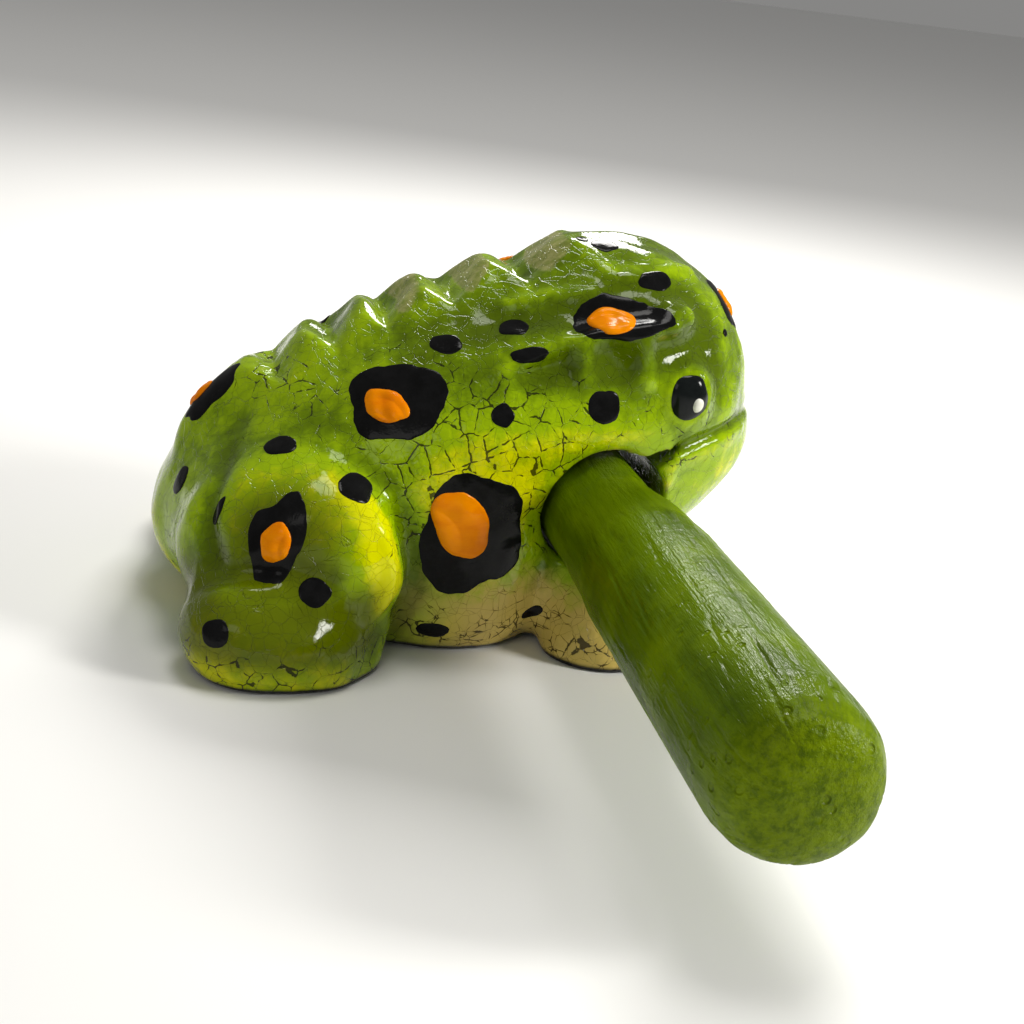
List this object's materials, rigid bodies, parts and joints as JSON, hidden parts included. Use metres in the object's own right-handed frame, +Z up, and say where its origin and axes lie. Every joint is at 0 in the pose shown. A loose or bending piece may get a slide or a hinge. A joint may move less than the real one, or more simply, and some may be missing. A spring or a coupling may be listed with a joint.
{
  "type": "croaking frog scraper",
  "caption": "Carved wooden croaking frog with rasp teeth down its back and a wooden stick kept in a hole across its throat.",
  "frame": {"origin": "middle of the flat underside, under the middle of the frog's body", "axes": "+X to the nose, +Y to the frog's left side, +Z up; the stick lies along Y and stands out towards -Y"},
  "size_m": [0.0755, 0.1238, 0.0506],
  "materials": {
    "painted_body": "carved softwood under lime and olive green paint with a fine dark crackle and clear gloss lacquer",
    "painted_stick": "hand-shaped softwood under one deep green stain, semi-gloss, with the grain showing",
    "black_paint": "brushed black paint under gloss lacquer",
    "orange_paint": "thick orange paint dabs with brush folds",
    "white_paint": "small raised dot of white gloss paint"
  },
  "bodies": {
    "frog": {"frog_body": "painted_body"},
    "stick": {"stick": "painted_stick"}
  },
  "joints": [
    {"name": "stick_slide", "type": "slide", "parent": "frog", "child": "stick", "axis": [0, -1, 0], "range_m": [0, 0.125]}
  ]
}
